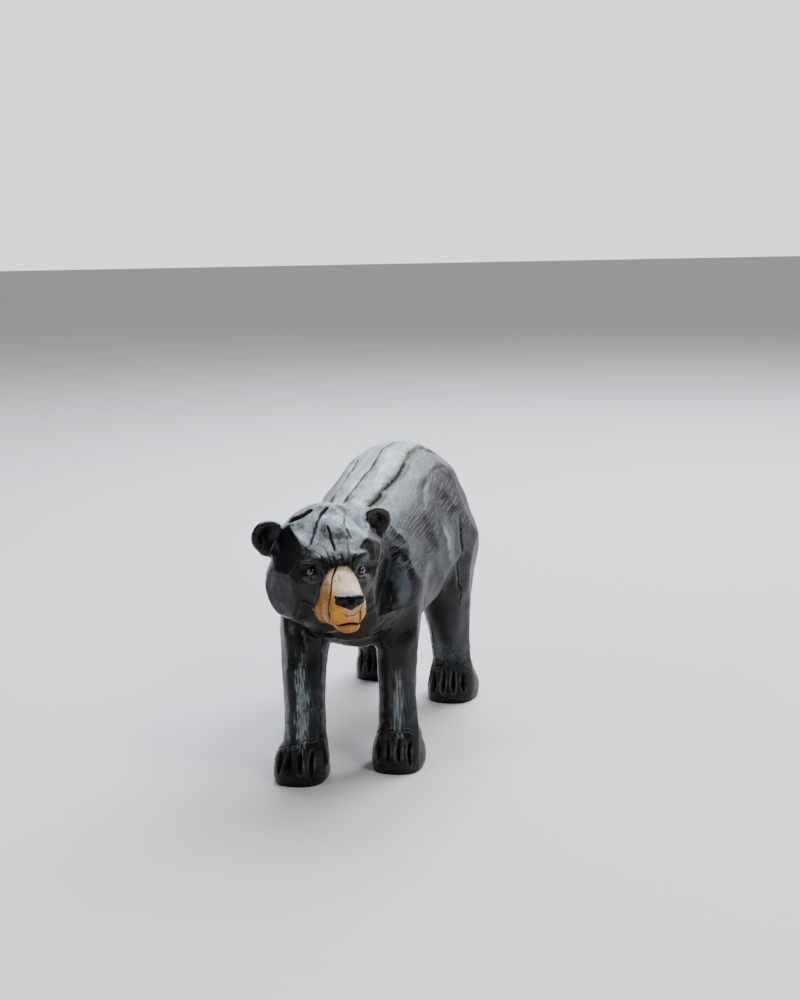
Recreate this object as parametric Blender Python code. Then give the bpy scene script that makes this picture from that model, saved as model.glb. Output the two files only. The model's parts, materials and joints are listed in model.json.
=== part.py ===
"""Carved wooden black bear, walking, its head turned to its left, with a glass bead in each eye socket.

The bear faces -Y with its left side to +X and stands on the plane Z = 0. It is worked as a carver works it:
the masses are roughed out and blended, knife cuts flatten them, the head and paws are added, and the cuts
of the finer tools follow.
"""
import math

import bmesh
import bpy
import numpy as np
from mathutils import Matrix, Vector
from mathutils.bvhtree import BVHTree

# Driving dimensions, in metres.
BEAR_HEIGHT = 0.145
EYE_DIAMETER = 0.005
EYE_GAP = 0.0003
EYE_STAND = 0.0009

# The figure is laid out at 145 mm tall; one layout millimetre is U metres.
LAYOUT_HEIGHT = 145.0
U = BEAR_HEIGHT / LAYOUT_HEIGHT

ROUGH_VOXEL = 1.3
DETAIL_VOXEL = 0.8
TRIANGLE_BUDGET = 8400

HEAD_CENTRE = Vector((-5.5, -84.0, 106.0))
HEAD_YAW = math.radians(27)
HEAD_PITCH = math.radians(4)

# Sections of the trunk: x, y, z of the centre, half width, half height.
TORSO = (
    (0, -70, 89, 22, 22),
    (0, -60, 91, 28, 31),
    (0, -40, 94, 33, 36.5),
    (0, -20, 97, 35.5, 38),
    (0.5, 0, 99.5, 37, 39),
    (1, 20, 102, 38, 41),
    (1.5, 40, 103.6, 38.6, 42.5),
    (1.5, 58, 102.6, 38, 42),
    (1, 75, 98.5, 34.5, 39),
    (0, 90, 94, 29, 32),
)
NECK = (
    (-2, -35, 98, 31, 32),
    (-4, -55, 101, 28, 29),
    (-6, -72, 103, 25, 26),
)

# Each leg runs from inside the body down to the paw: x, y, z, half width, half depth.
FRONT_RIGHT_LEG = (
    (-19, -52, 92, 15, 22),
    (-22, -60, 76, 13.5, 16),
    (-22.3, -68, 56, 11.8, 12.5),
    (-21.8, -72, 36, 10.7, 11),
    (-22, -73, 18, 11.2, 12),
    (-22, -74, 8, 12, 12.5),
)
FRONT_LEFT_LEG = (
    (18, -42, 92, 15, 22),
    (19, -46, 76, 13.5, 16),
    (19, -49, 56, 11.2, 12.5),
    (18.8, -50, 36, 10.4, 11),
    (19, -50, 18, 11.2, 12),
    (19, -51, 8, 12, 12.5),
)
HIND_LEFT_LEG = (
    (20, 48, 98, 18, 30),
    (25, 48, 78, 17.5, 27),
    (26, 50, 58, 14.5, 20),
    (26, 58, 38, 12, 14),
    (25.5, 67, 22, 11.7, 13),
    (25, 68, 10, 13, 14),
)
HIND_RIGHT_LEG = (
    (-20, 62, 98, 18, 30),
    (-25, 66, 78, 17.5, 27),
    (-26.5, 76, 58, 14.5, 20),
    (-26.5, 91, 38, 12, 13.5),
    (-25, 105, 22, 11.7, 13),
    (-24, 107, 10, 13, 14),
)
LEGS = (FRONT_RIGHT_LEG, FRONT_LEFT_LEG, HIND_LEFT_LEG, HIND_RIGHT_LEG)

# Each leg is shaved to flat faces; the first one faces this many degrees from +X.
LEG_FACES = 8
LEG_FACE_TURNS = (-55, -75, -70, -60)

# x and y of each paw's centre, half width, half length.
PAWS = (
    (-24.5, -71.5, 13.2, 15.5),
    (18.5, -48.5, 13, 15.5),
    (25.5, 70, 14, 18),
    (-24, 108, 14, 18),
)
PAW_HEIGHT = 17.0
CLAW_SLOTS = (-0.62, -0.21, 0.21, 0.62)

# Eyes in the head's frame, right then left: distance from the middle, and height.
EYES = ((-11.8, 5.3), (11.8, 4.0))

# Ears in the head's frame: the right one, then the left one, carved a little higher.
EARS = ((-25.5, 6, 15), (24.6, 6, 18))

# Flat planes of the skull in the head's frame: a point, and the way the plane faces.
SKULL_PLANES = (
    ((0, -22.5, 12), (0, -0.5, 0.87)),
    ((-12.5, -20.5, 5), (-0.62, -0.75, 0.22)),
    ((12.5, -20.5, 5), (0.62, -0.75, 0.22)),
    ((-17.5, -6, 20), (-0.84, -0.38, 0.38)),
    ((18, -6, 20.5), (0.68, -0.36, 0.64)),
    ((-24, -6, -8), (-0.88, -0.45, -0.1)),
    ((24, -6, -8), (0.88, -0.45, -0.1)),
)

# Cracks in the wood, as x and y seen from above, with half width and depth.
BACK_CRACKS = (
    (((5, -41), (8.6, -31), (10.6, -12), (12, 4), (12.5, 22), (14, 42), (16, 60), (18, 76)), 2.2, 2.6),
    (((-8, -44), (-6.8, -28), (-5.2, -5), (-2.8, 8), (-3.1, 38), (-2, 64)), 0.8, 1.0),
)


def head_frame():
    """Head axes as columns: left, back, up, at the head's centre, in layout millimetres."""
    yaw = Matrix.Rotation(HEAD_YAW, 4, "Z")
    pitch = Matrix.Rotation(HEAD_PITCH, 4, "X")
    return Matrix.Translation(HEAD_CENTRE) @ yaw @ pitch


def catmull(rows, steps):
    """Rows of numbers, smoothly interpolated with the given steps between neighbours."""
    rows = np.array(rows, float)
    padded = np.vstack([2 * rows[0] - rows[1], rows, 2 * rows[-1] - rows[-2]])
    out = []
    for i in range(1, len(padded) - 2):
        a, b, c, d = padded[i - 1 : i + 3]
        square = 2 * a - 5 * b + 4 * c - d
        cube = 3 * b - a - 3 * c + d
        for t in np.arange(steps) / steps:
            out.append(0.5 * (2 * b + (c - a) * t + square * t**2 + cube * t**3))
    out.append(rows[-1])
    return np.array(out)


def ball(bm, centre, radii, turn=None, frame=None):
    """An ellipsoid in layout millimetres, turned by Euler degrees, in a frame."""
    place = Matrix.Translation(Vector(centre))
    if turn:
        for angle, axis in zip(turn, "XYZ"):
            place = place @ Matrix.Rotation(math.radians(angle), 4, axis)
    place = (frame or Matrix()) @ place @ Matrix.Diagonal((*radii, 1.0))
    bmesh.ops.create_icosphere(bm, subdivisions=4, radius=1.0, matrix=place)


def limb(bm, stations, frame=None, sides=28, power=2.2, steps=4, flare=0.0, cap=0.7):
    """A closed tube through stations (x, y, z, half width, half depth), its width lying across X.

    power squares the section, flare widens it by that share towards its front, and cap rounds both ends.
    """
    frame = frame or Matrix()
    rows = catmull(stations, steps)
    tangents = np.gradient(rows[:, :3], axis=0)
    tangents /= np.linalg.norm(tangents, axis=1)[:, None]
    sections = [(row[:3], tangent, row[3], row[4]) for row, tangent in zip(rows, tangents)]
    for end, sign in ((0, -1), (-1, 1)):
        point, tangent, width, depth = sections[end]
        extra = []
        for angle in (math.radians(30), math.radians(58), math.radians(80)):
            reach = cap * min(width, depth) * math.sin(angle)
            scale = math.cos(angle)
            extra.append((point + sign * tangent * reach, tangent, width * scale, depth * scale))
        sections = extra[::-1] + sections if end == 0 else sections + extra
    rings = []
    for point, tangent, width, depth in sections:
        along = Vector(tangent)
        side = Vector((1, 0, 0))
        side = (side - along * side.dot(along)).normalized()
        front = along.cross(side)
        ring = []
        for k in range(sides):
            angle = 2 * math.pi * k / sides
            c, s = math.cos(angle), math.sin(angle)
            y = depth * math.copysign(abs(s) ** (2 / power), s)
            x = width * math.copysign(abs(c) ** (2 / power), c) * (1 + flare * s)
            ring.append(bm.verts.new(frame @ (Vector(point) + side * x + front * y)))
        rings.append(ring)
    for low, high in zip(rings, rings[1:]):
        for k in range(sides):
            n = (k + 1) % sides
            bm.faces.new((low[k], low[n], high[n], high[k]))
    bm.faces.new(rings[0][::-1])
    bm.faces.new(rings[-1])


def rough_masses(bm):
    """Trunk, neck, legs, tail and the head's large masses."""
    head = head_frame()
    limb(bm, TORSO, power=2.15, flare=0.13)
    limb(bm, NECK, flare=0.1)
    for leg in LEGS:
        limb(bm, leg)
    ball(bm, (-18, -48, 90), (16, 26, 29))
    ball(bm, (18, -42, 90), (16, 26, 29))
    ball(bm, (22.5, 50, 89), (22, 34, 35), (8, 0, 0))
    ball(bm, (-22.5, 58, 89), (22, 34, 35), (-4, 0, 0))
    ball(bm, (0, 110, 99), (6.5, 8, 12), (-20, 0, 0))
    ball(bm, (0.8, 0, 4), (26.5, 26, 27.5), frame=head)
    for side in (-1, 1):
        ball(bm, (side * 13.5, 2, -6.5), (15, 20, 18), frame=head)
    ball(bm, (0, 2, -14), (19, 21, 17), frame=head)
    ball(bm, (17, 9, -2), (12, 14, 20), frame=head)


def head_masses(bm):
    """Brows, lids, muzzle, nose, lip and ears, in the head's frame, where forward is -Y."""
    head = head_frame()
    for side, ear in zip((-1, 1), EARS):
        ball(bm, (side * 10, -20.5, 11), (7, 3.4, 2.8), (15, side * 14, side * 24), frame=head)
        ball(bm, (side * 12.5, -19.2, 0), (5.2, 3.4, 2.4), (0, side * -12, side * 30), frame=head)
        ball(bm, ear, (8.2, 4.0, 9.4), (12, side * 14, side * 5), frame=head)
    limb(
        bm,
        (
            (0, -8, 0, 9.6, 13),
            (0, -20, -2.8, 9.4, 11.6),
            (0, -29, -6.2, 9.5, 10),
            (0.6, -36, -8.8, 9.4, 8.6),
        ),
        frame=head,
        power=2.9,
        flare=-0.24,
        cap=0.36,
    )
    limb(bm, ((0, -8, -15, 12, 6), (1.5, -24, -16.4, 7.6, 5), (2, -34, -17, 5.4, 3.5)), frame=head)
    limb(bm, ((1.4, -35.5, -2.8, 6.4, 1.9), (1.4, -39.4, -3.2, 6.8, 2.2)), frame=head, power=3.2, cap=0.3)
    ball(bm, (1.4, -39.2, -5.6), (3.0, 2.0, 2.6), frame=head)


def paw_masses(bm):
    """Rounded paws with a low instep that runs up into the leg."""
    for x, y, width, length in PAWS:
        limb(
            bm,
            (
                (x, y, -4, width, length),
                (x, y, 5, width, length),
                (x, y + 0.5, 11, width * 0.95, length * 0.9),
                (x, y + 2, PAW_HEIGHT, width * 0.76, length * 0.66),
            ),
            power=2.5,
            cap=0.3,
        )
        ball(bm, (x, y - 1, 13), (width * 0.8, length * 0.75, 8))


def evaluated(bm, *settings):
    """The mesh of bm after modifiers, each given as (type, {settings})."""
    mesh = bpy.data.meshes.new("working")
    bm.to_mesh(mesh)
    bm.free()
    obj = bpy.data.objects.new("working", mesh)
    bpy.context.scene.collection.objects.link(obj)
    for kind, values in settings:
        modifier = obj.modifiers.new(kind.lower(), kind)
        for name, value in values.items():
            setattr(modifier, name, value)
    graph = bpy.context.evaluated_depsgraph_get()
    made = bpy.data.meshes.new_from_object(obj.evaluated_get(graph))
    bpy.data.objects.remove(obj)
    return made


def remesh(voxel):
    return ("REMESH", {"mode": "VOXEL", "voxel_size": voxel})


def smooth(iterations, factor=0.5):
    return ("SMOOTH", {"factor": factor, "iterations": iterations})


class Surface:
    """A mesh's points and normals as arrays, cut along the normals."""

    def __init__(self, mesh):
        self.mesh = mesh
        count = len(mesh.vertices)
        self.points = np.empty(count * 3, np.float32)
        mesh.vertices.foreach_get("co", self.points)
        self.points = self.points.reshape(-1, 3).astype(float)
        self.normals = np.empty(count * 3, np.float32)
        mesh.vertices.foreach_get("normal", self.normals)
        self.normals = self.normals.reshape(-1, 3).astype(float)
        self.cut = np.zeros(count)
        faces = [tuple(face.vertices) for face in mesh.polygons]
        self.tree = BVHTree.FromPolygons([tuple(p) for p in self.points], faces)

    def finish(self):
        """Write the cut points back to the mesh."""
        moved = self.points - self.normals * self.cut[:, None]
        self.mesh.vertices.foreach_set("co", moved.astype(np.float32).ravel())
        self.mesh.update()
        return self.mesh

    def local(self, frame):
        """Points in a frame."""
        inverse = np.array(frame.inverted())
        return self.points @ inverse[:3, :3].T + inverse[:3, 3]

    def landed(self, frame, points, toward, back=40.0):
        """Points of a frame, drawn back and then thrown onto the surface along a direction of it."""
        way = (frame.to_3x3() @ Vector(toward)).normalized()
        out = []
        for point in points:
            start = frame @ Vector(point) - way * back
            hit = self.tree.ray_cast(start, way)[0]
            if hit:
                out.append(tuple(hit))
        return np.array(out)

    def groove(self, path, half_width, depth, ends=1.0, raised=0.0):
        """A V-shaped cut along a path on the surface, run out at both ends, its edges raised if asked."""
        if len(path) < 2:
            return
        reach = half_width * (3.0 if raised else 1.0)
        near = np.all((self.points > path.min(0) - reach) & (self.points < path.max(0) + reach), axis=1)
        index = np.nonzero(near)[0]
        points = self.points[index]
        best = np.full(len(index), np.inf)
        where = np.zeros(len(index))
        for k, (a, b) in enumerate(zip(path, path[1:])):
            run = b - a
            t = np.clip((points - a) @ run / max(run @ run, 1e-9), 0, 1)
            gap = np.linalg.norm(points - a - t[:, None] * run, axis=1)
            closer = gap < best
            best[closer] = gap[closer]
            where[closer] = (k + t[closer]) / (len(path) - 1)
        fade = np.clip(np.minimum(where, 1 - where) * ends * 4, 0, 1) ** 0.5
        shape = np.clip(1 - best / half_width, 0, 1) * depth
        if raised:
            shape -= np.exp(-(((best - 1.8 * half_width) / (0.6 * half_width)) ** 2)) * raised
        value = shape * fade
        self.cut[index] = np.where(value > 0, np.maximum(self.cut[index], value), self.cut[index] + value)

    def dent(self, frame, centre, radii, depth, facing=None):
        """A rounded hollow, or with a negative depth a swelling, inside an ellipsoid of a frame."""
        local = (self.local(frame) - np.array(centre)) / np.array(radii)
        distance = np.sum(local**2, axis=1)
        value = depth * np.clip(1 - distance, 0, 1) ** 1.5
        if facing is not None:
            way = np.array(frame.to_3x3() @ Vector(facing).normalized())
            value = value * np.clip(self.normals @ way, 0, 1)
        self.cut += value

    def flats(self, spacing, depth, share):
        """Flat knife cuts, one tangent plane at each of many evenly spread points, eased by a share."""
        candidates = np.nonzero(share > 0)[0]
        points = self.points[candidates]
        seeds = [int(np.argmax(points[:, 2]))]
        gap = np.linalg.norm(points - points[seeds[0]], axis=1)
        while gap.max() > spacing:
            seeds.append(int(np.argmax(gap)))
            gap = np.minimum(gap, np.linalg.norm(points - points[seeds[-1]], axis=1))
        cut = np.zeros(len(points))
        normals = self.normals[candidates]
        for seed in seeds:
            offset = points - points[seed]
            distance = np.linalg.norm(offset, axis=1)
            near = (distance < 1.4 * spacing) & (normals @ normals[seed] > 0.3)
            ease = 1 - (distance[near] / (1.4 * spacing)) ** 2
            height = offset[near] @ normals[seed] + depth * ease
            cut[near] = np.maximum(cut[near], np.clip(height, 0, 2 * depth * ease))
        self.cut[candidates] += cut * share[candidates]


def straight(points, steps=12):
    """A smooth path through points, fine enough to lie on a curved surface."""
    return catmull(points, steps)


def carve_paws(surface):
    """Slots between the claws, and the notch that sets the claws off from the foot."""
    for x, y, width, length in PAWS:
        frame = Matrix.Translation((x, y - length, 0))
        for share in CLAW_SLOTS:
            bow = 4.0 * share**2
            slot = [
                (share * width * 0.84, 7.5 + bow, 15),
                (share * width * 0.96, 2 + bow, 11),
                (share * width * 1.02, bow, 5.5),
            ]
            landed = surface.landed(frame, straight(slot), (share * -0.5, 0.7, -0.7), back=20.0)
            surface.groove(landed, 1.5, 2.8, ends=2)
        notch = [(t * width * 0.86, 6.8 + 5.0 * t * t, 16) for t in np.linspace(-1, 1, 9)]
        landed = surface.landed(frame, straight(notch, 4), (0, 0.5, -0.8), back=20.0)
        surface.groove(landed, 1.2, 0.9, ends=3)


def carve_head(surface):
    """Eye hollows, ear cups, frown, nostrils and mouth."""
    head = head_frame()
    ahead = (0, 1, 0)
    for x, y, z in EARS:
        surface.dent(head, (x * 1.02, y - 4, z + 0.5), (7.0, 9, 7.8), 3.2, facing=(0, -1, 0.1))
    for x, z in EYES:
        surface.dent(head, (x, -20, z), (6.5, 9, 4.6), 1.4)
    for side in (-1, 1):
        frown = [(side * 2.2, -20, 4), (side * 3.2, -20, 10), (side * 6, -20, 15)]
        surface.groove(surface.landed(head, straight(frown), ahead), 1.1, 1.0)
        nostril = [(1.4 + side * 2, -40, -4), (1.4 + side * 4.6, -40, -5.4), (1.4 + side * 6.2, -40, -3.6)]
        surface.groove(surface.landed(head, straight(nostril), ahead), 0.9, 1.1)
    mouth = [(-7.5, -40, -17), (-4, -40, -16), (0, -40, -14.4), (3, -40, -13.4), (8, -40, -14.6)]
    surface.groove(surface.landed(head, straight(mouth, 6), ahead), 1.1, 1.4)
    lip = [(6.2, -40, -9.5), (6.4, -40, -14)]
    surface.groove(surface.landed(head, straight(lip), ahead), 0.8, 0.8)


def carve_skull(surface):
    """The flat planes of the skull, cut no deeper than a few millimetres."""
    frame = head_frame()
    head = surface.local(frame)
    on_head = np.clip((38 - np.linalg.norm(head, axis=1)) / 6, 0, 1) * np.clip((12 - head[:, 1]) / 8, 0, 1)
    for point, facing in SKULL_PLANES:
        normal = np.array(Vector(facing).normalized())
        way = np.array(frame.to_3x3() @ Vector(facing).normalized())
        height = (head - np.array(point)) @ normal
        turned = np.clip((surface.normals @ way - 0.3) / 0.4, 0, 1)
        surface.cut = np.maximum(surface.cut, on_head * turned * np.clip(height, 0, 5.5))


def carve_flats(surface):
    """Broad knife cuts on the body and smaller ones on the legs, clear of the head and paws."""
    head = surface.local(head_frame())
    body = np.clip((np.linalg.norm(head, axis=1) - 40) / 10, 0, 1)
    height = surface.points[:, 2]
    surface.flats(21.0, 1.5, body * np.clip((height - 60) / 14, 0, 1))
    surface.flats(13.0, 0.8, body * np.clip((height - 22) / 14, 0, 1) * np.clip((74 - height) / 14, 0, 1))


def carve_legs(surface):
    """Long flat faces down each leg, all round it."""
    x, y, z = surface.points.T
    for stations, turn in zip(LEGS, LEG_FACE_TURNS):
        low_first = np.array(stations, float)[::-1]
        centre_x, centre_y = (np.interp(z, low_first[:, 2], low_first[:, k]) for k in (0, 1))
        half_x, half_y = (np.interp(z, low_first[:, 2], low_first[:, k]) for k in (3, 4))
        off_x, off_y = x - centre_x, y - centre_y
        near = np.hypot(off_x / half_x, off_y / half_y) < 1.35
        share = near * np.clip((z - 17) / 6, 0, 1) * np.clip((72 - z) / 12, 0, 1)
        for k in range(LEG_FACES):
            angle = math.radians(turn + 360 / LEG_FACES * k)
            c, s = math.cos(angle), math.sin(angle)
            reach = np.hypot(half_x * c, half_y * s)
            turned = np.clip(surface.normals @ np.array((c, s, 0)) - 0.3, 0, 0.4) / 0.4
            height = np.clip(off_x * c + off_y * s - 0.87 * reach, 0, 2.5)
            surface.cut = np.maximum(surface.cut, share * turned * height)


def carve_cracks(surface):
    for path, half_width, depth in BACK_CRACKS:
        points = [(x, y, 200) for x, y in path]
        landed = surface.landed(Matrix(), straight(points, 10), (0, 0, -1))
        surface.groove(landed, half_width, depth, raised=0.35)


def carved_mesh():
    """The whole figure in layout millimetres, before its triangles are thinned."""
    bm = bmesh.new()
    rough_masses(bm)
    surface = Surface(evaluated(bm, remesh(ROUGH_VOXEL), smooth(14)))
    carve_skull(surface)
    bm = bmesh.new()
    bm.from_mesh(surface.finish())
    head_masses(bm)
    paw_masses(bm)
    surface = Surface(evaluated(bm, remesh(DETAIL_VOXEL), smooth(6)))
    carve_flats(surface)
    carve_legs(surface)
    bm = bmesh.new()
    bm.from_mesh(surface.finish())
    surface = Surface(evaluated(bm, smooth(2)))
    carve_paws(surface)
    carve_head(surface)
    carve_cracks(surface)
    return surface.finish()


def thinned(mesh):
    """The mesh with about TRIANGLE_BUDGET triangles, cut flat at the floor."""
    bm = bmesh.new()
    bm.from_mesh(mesh)
    bmesh.ops.triangulate(bm, faces=bm.faces[:])
    ratio = TRIANGLE_BUDGET / len(bm.faces)
    mesh = evaluated(bm, ("DECIMATE", {"ratio": ratio}))
    bm = bmesh.new()
    bm.from_mesh(mesh)
    whole = bm.verts[:] + bm.edges[:] + bm.faces[:]
    bmesh.ops.bisect_plane(bm, geom=whole, plane_co=(0, 0, 0), plane_no=(0, 0, -1), clear_outer=True)
    rims = [edge for edge in bm.edges if edge.is_boundary]
    bmesh.ops.holes_fill(bm, edges=rims, sides=0)
    bmesh.ops.triangulate(bm, faces=bm.faces[:])
    bm.to_mesh(mesh)
    bm.free()
    return mesh


def eye_centres(mesh):
    """Bead centres in layout millimetres, sunk so that EYE_STAND of each bead stands proud."""
    tree = BVHTree.FromPolygons([v.co for v in mesh.vertices], [tuple(f.vertices) for f in mesh.polygons])
    head = head_frame()
    sunk = (EYE_DIAMETER / 2 - EYE_STAND) / U
    centres = []
    for x, z in EYES:
        start = head @ Vector((x, -60, z))
        way = head.to_3x3() @ Vector((0, 1, 0))
        outward = head.to_3x3() @ Vector((math.copysign(0.3, x), -0.95, 0)).normalized()
        centres.append(tree.ray_cast(start, way)[0] - outward * sunk)
    return centres


def sphere_mesh(name, centre, radius, subdivisions):
    bm = bmesh.new()
    bmesh.ops.create_icosphere(
        bm, subdivisions=subdivisions, radius=radius, matrix=Matrix.Translation(centre)
    )
    mesh = bpy.data.meshes.new(name)
    bm.to_mesh(mesh)
    bm.free()
    return mesh


def material(name, colour, roughness, metallic=0.0):
    made = bpy.data.materials.new(name)
    made.use_nodes = True
    shader = made.node_tree.nodes["Principled BSDF"]
    shader.inputs["Base Color"].default_value = (*colour, 1.0)
    shader.inputs["Roughness"].default_value = roughness
    shader.inputs["Metallic"].default_value = metallic
    return made


def placed(name, mesh, look):
    obj = bpy.data.objects.new(name, mesh)
    bpy.context.scene.collection.objects.link(obj)
    mesh.materials.clear()
    mesh.materials.append(look)
    return obj


def build_bear():
    """The figure and its two glass eyes, centred over the origin on the plane Z = 0."""
    mesh = thinned(carved_mesh())
    centres = eye_centres(mesh)
    low = np.min([tuple(v.co) for v in mesh.vertices], axis=0)
    high = np.max([tuple(v.co) for v in mesh.vertices], axis=0)
    middle = Vector(((low[0] + high[0]) / 2, (low[1] + high[1]) / 2, 0))
    mesh.transform(Matrix.Scale(U, 4) @ Matrix.Translation(-middle))
    bear = placed("bear", mesh, material("painted_wood", (0.02, 0.017, 0.015), 0.42))
    glass = material("dark_glass", (0.01, 0.007, 0.005), 0.06)
    for name, centre in zip(("right_eye", "left_eye"), centres):
        seat = (centre - middle) * U
        radius = EYE_DIAMETER / 2
        placed(name, sphere_mesh(name, seat, radius, 3), glass)
        socket = placed(name + "_socket", sphere_mesh("socket", seat, radius + EYE_GAP, 3), glass)
        socket.hide_render = True
        socket.display_type = "WIRE"
        cut = bear.modifiers.new(name + "_socket", "BOOLEAN")
        cut.operation = "DIFFERENCE"
        cut.object = socket


def main():
    for obj in list(bpy.data.objects):
        bpy.data.objects.remove(obj, do_unlink=True)
    build_bear()


main()
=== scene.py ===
"""Looks of the carved wooden bear: knife-cut painted wood with splits, worn edges and glass eyes.

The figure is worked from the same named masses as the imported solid, at a finer grain, and fitted
into the solid's box. The finer cracks, the wrinkles and the small knife cuts, which the solid
leaves out, are cut here, and the paint follows them. Lengths are in layout millimetres, for a bear
145 mm tall, until the figure is fitted.
"""

import json
import math

import bmesh
import bpy
import numpy as np
from mathutils import Matrix, Vector, kdtree, noise
from mathutils.bvhtree import BVHTree

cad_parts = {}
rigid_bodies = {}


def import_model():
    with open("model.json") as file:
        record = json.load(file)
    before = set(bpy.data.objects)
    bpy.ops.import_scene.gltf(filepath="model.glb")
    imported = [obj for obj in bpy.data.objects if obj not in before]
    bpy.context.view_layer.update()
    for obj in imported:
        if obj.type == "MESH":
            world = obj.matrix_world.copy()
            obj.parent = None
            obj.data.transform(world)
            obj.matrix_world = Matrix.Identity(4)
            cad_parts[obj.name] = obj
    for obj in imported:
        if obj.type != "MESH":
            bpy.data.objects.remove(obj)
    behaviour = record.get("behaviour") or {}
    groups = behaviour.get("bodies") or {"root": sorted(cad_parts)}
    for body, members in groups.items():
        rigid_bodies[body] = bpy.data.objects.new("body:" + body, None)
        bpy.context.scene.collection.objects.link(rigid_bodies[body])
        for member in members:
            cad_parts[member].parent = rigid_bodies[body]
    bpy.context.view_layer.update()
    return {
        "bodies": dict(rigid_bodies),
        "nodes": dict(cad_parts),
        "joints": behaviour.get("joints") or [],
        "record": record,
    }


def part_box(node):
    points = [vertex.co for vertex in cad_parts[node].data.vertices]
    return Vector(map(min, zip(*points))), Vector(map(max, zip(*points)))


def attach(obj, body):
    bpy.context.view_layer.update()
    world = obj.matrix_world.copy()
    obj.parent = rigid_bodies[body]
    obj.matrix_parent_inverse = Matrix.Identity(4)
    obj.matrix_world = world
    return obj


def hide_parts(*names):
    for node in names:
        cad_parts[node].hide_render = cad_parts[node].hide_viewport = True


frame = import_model()

# The grain at which the large masses are joined, then the whole form, then the cuts.
ROUGH_VOXEL = 1.3
FORM_VOXEL = 0.8
FINE_VOXEL = 0.5
TRIANGLE_BUDGET = 190000

# The head's place on the body, turned to the bear's left and a little down.
HEAD_CENTRE = Vector((-5.5, -84.0, 106.0))
HEAD_YAW = math.radians(27)
HEAD_PITCH = math.radians(4)

# Sections of the trunk and the neck: x, y, z of the centre, half width, half height.
TORSO = (
    (0, -70, 89, 22, 22),
    (0, -60, 91, 28, 31),
    (0, -40, 94, 33, 36.5),
    (0, -20, 97, 35.5, 38),
    (0.5, 0, 99.5, 37, 39),
    (1, 20, 102, 38, 41),
    (1.5, 40, 103.6, 38.6, 42.5),
    (1.5, 58, 102.6, 38, 42),
    (1, 75, 98.5, 34.5, 39),
    (0, 90, 94, 29, 32),
)
NECK = (
    (-2, -35, 98, 31, 32),
    (-4, -55, 101, 28, 29),
    (-6, -72, 103, 25, 26),
)

# Each leg runs from inside the body down to the paw: x, y, z, half width, half depth.
FRONT_RIGHT_LEG = (
    (-19, -52, 92, 15, 22),
    (-22, -60, 76, 13.5, 16),
    (-22.3, -68, 56, 11.8, 12.5),
    (-21.8, -72, 36, 10.7, 11),
    (-22, -73, 18, 11.2, 12),
    (-22, -74, 8, 12, 12.5),
)
FRONT_LEFT_LEG = (
    (18, -42, 92, 15, 22),
    (19, -46, 76, 13.5, 16),
    (19, -49, 56, 11.2, 12.5),
    (18.8, -50, 36, 10.4, 11),
    (19, -50, 18, 11.2, 12),
    (19, -51, 8, 12, 12.5),
)
HIND_LEFT_LEG = (
    (20, 48, 98, 18, 30),
    (25, 48, 78, 17.5, 27),
    (26, 50, 58, 14.5, 20),
    (26, 58, 38, 12, 14),
    (25.5, 67, 22, 11.7, 13),
    (25, 68, 10, 13, 14),
)
HIND_RIGHT_LEG = (
    (-20, 62, 98, 18, 30),
    (-25, 66, 78, 17.5, 27),
    (-26.5, 76, 58, 14.5, 20),
    (-26.5, 91, 38, 12, 13.5),
    (-25, 105, 22, 11.7, 13),
    (-24, 107, 10, 13, 14),
)
LEGS = (FRONT_RIGHT_LEG, FRONT_LEFT_LEG, HIND_LEFT_LEG, HIND_RIGHT_LEG)

# Each leg is shaved to flat faces; the first one faces this many degrees from +X.
LEG_FACES = 8
LEG_FACE_TURNS = (-55, -75, -70, -60)

# x and y of each paw's centre, half width, half length.
PAWS = (
    (-24.5, -71.5, 13.2, 15.5),
    (18.5, -48.5, 13, 15.5),
    (25.5, 70, 14, 18),
    (-24, 108, 14, 18),
)
PAW_HEIGHT = 17.0
CLAW_SLOTS = (-0.62, -0.21, 0.21, 0.62)

# Eyes in the head's frame, right then left: distance from the middle, and height.
EYES = ((-11.8, 5.3), (11.8, 4.0))

# Ears in the head's frame: the right one, then the left one, carved a little higher.
EARS = ((-25.5, 6, 15), (24.6, 6, 18))

# The nose and the nostrils sit a little to the left of the head's middle.
NOSE_MIDDLE = 1.4

# Paths across the muzzle are thrown onto it from this far ahead of the head's centre.
AHEAD_OF_NOSE = -40

# The small knife cuts are lighter round this point of the face, in the head's frame.
FACE_CENTRE = (0, -26, 2)

# Flat planes of the skull in the head's frame: a point, and the way the plane faces.
SKULL_PLANES = (
    ((0, -22.5, 12), (0, -0.5, 0.87)),
    ((-12.5, -20.5, 5), (-0.62, -0.75, 0.22)),
    ((12.5, -20.5, 5), (0.62, -0.75, 0.22)),
    ((-17.5, -6, 20), (-0.84, -0.38, 0.38)),
    ((18, -6, 20.5), (0.68, -0.36, 0.64)),
    ((-24, -6, -8), (-0.88, -0.45, -0.1)),
    ((24, -6, -8), (0.88, -0.45, -0.1)),
)

# The wide split beside the spine, seen from above: points x and y, then its half width and depth,
# the height of its raised edge on the bear's right, and the crack that undercuts that edge, darkened
# with painted shadow.
MAIN_SPLIT = ((5, -41), (8.6, -31), (10.6, -12), (12, 4), (12.5, 22), (14, 42), (16, 60), (18, 76))
SPLIT_HALF_WIDTH = 1.8
SPLIT_DEPTH = 2.0
SPLIT_EDGE = 0.35
UNDERCUT_HALF_WIDTH = 0.7
UNDERCUT_DEPTH = 1.8

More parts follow.
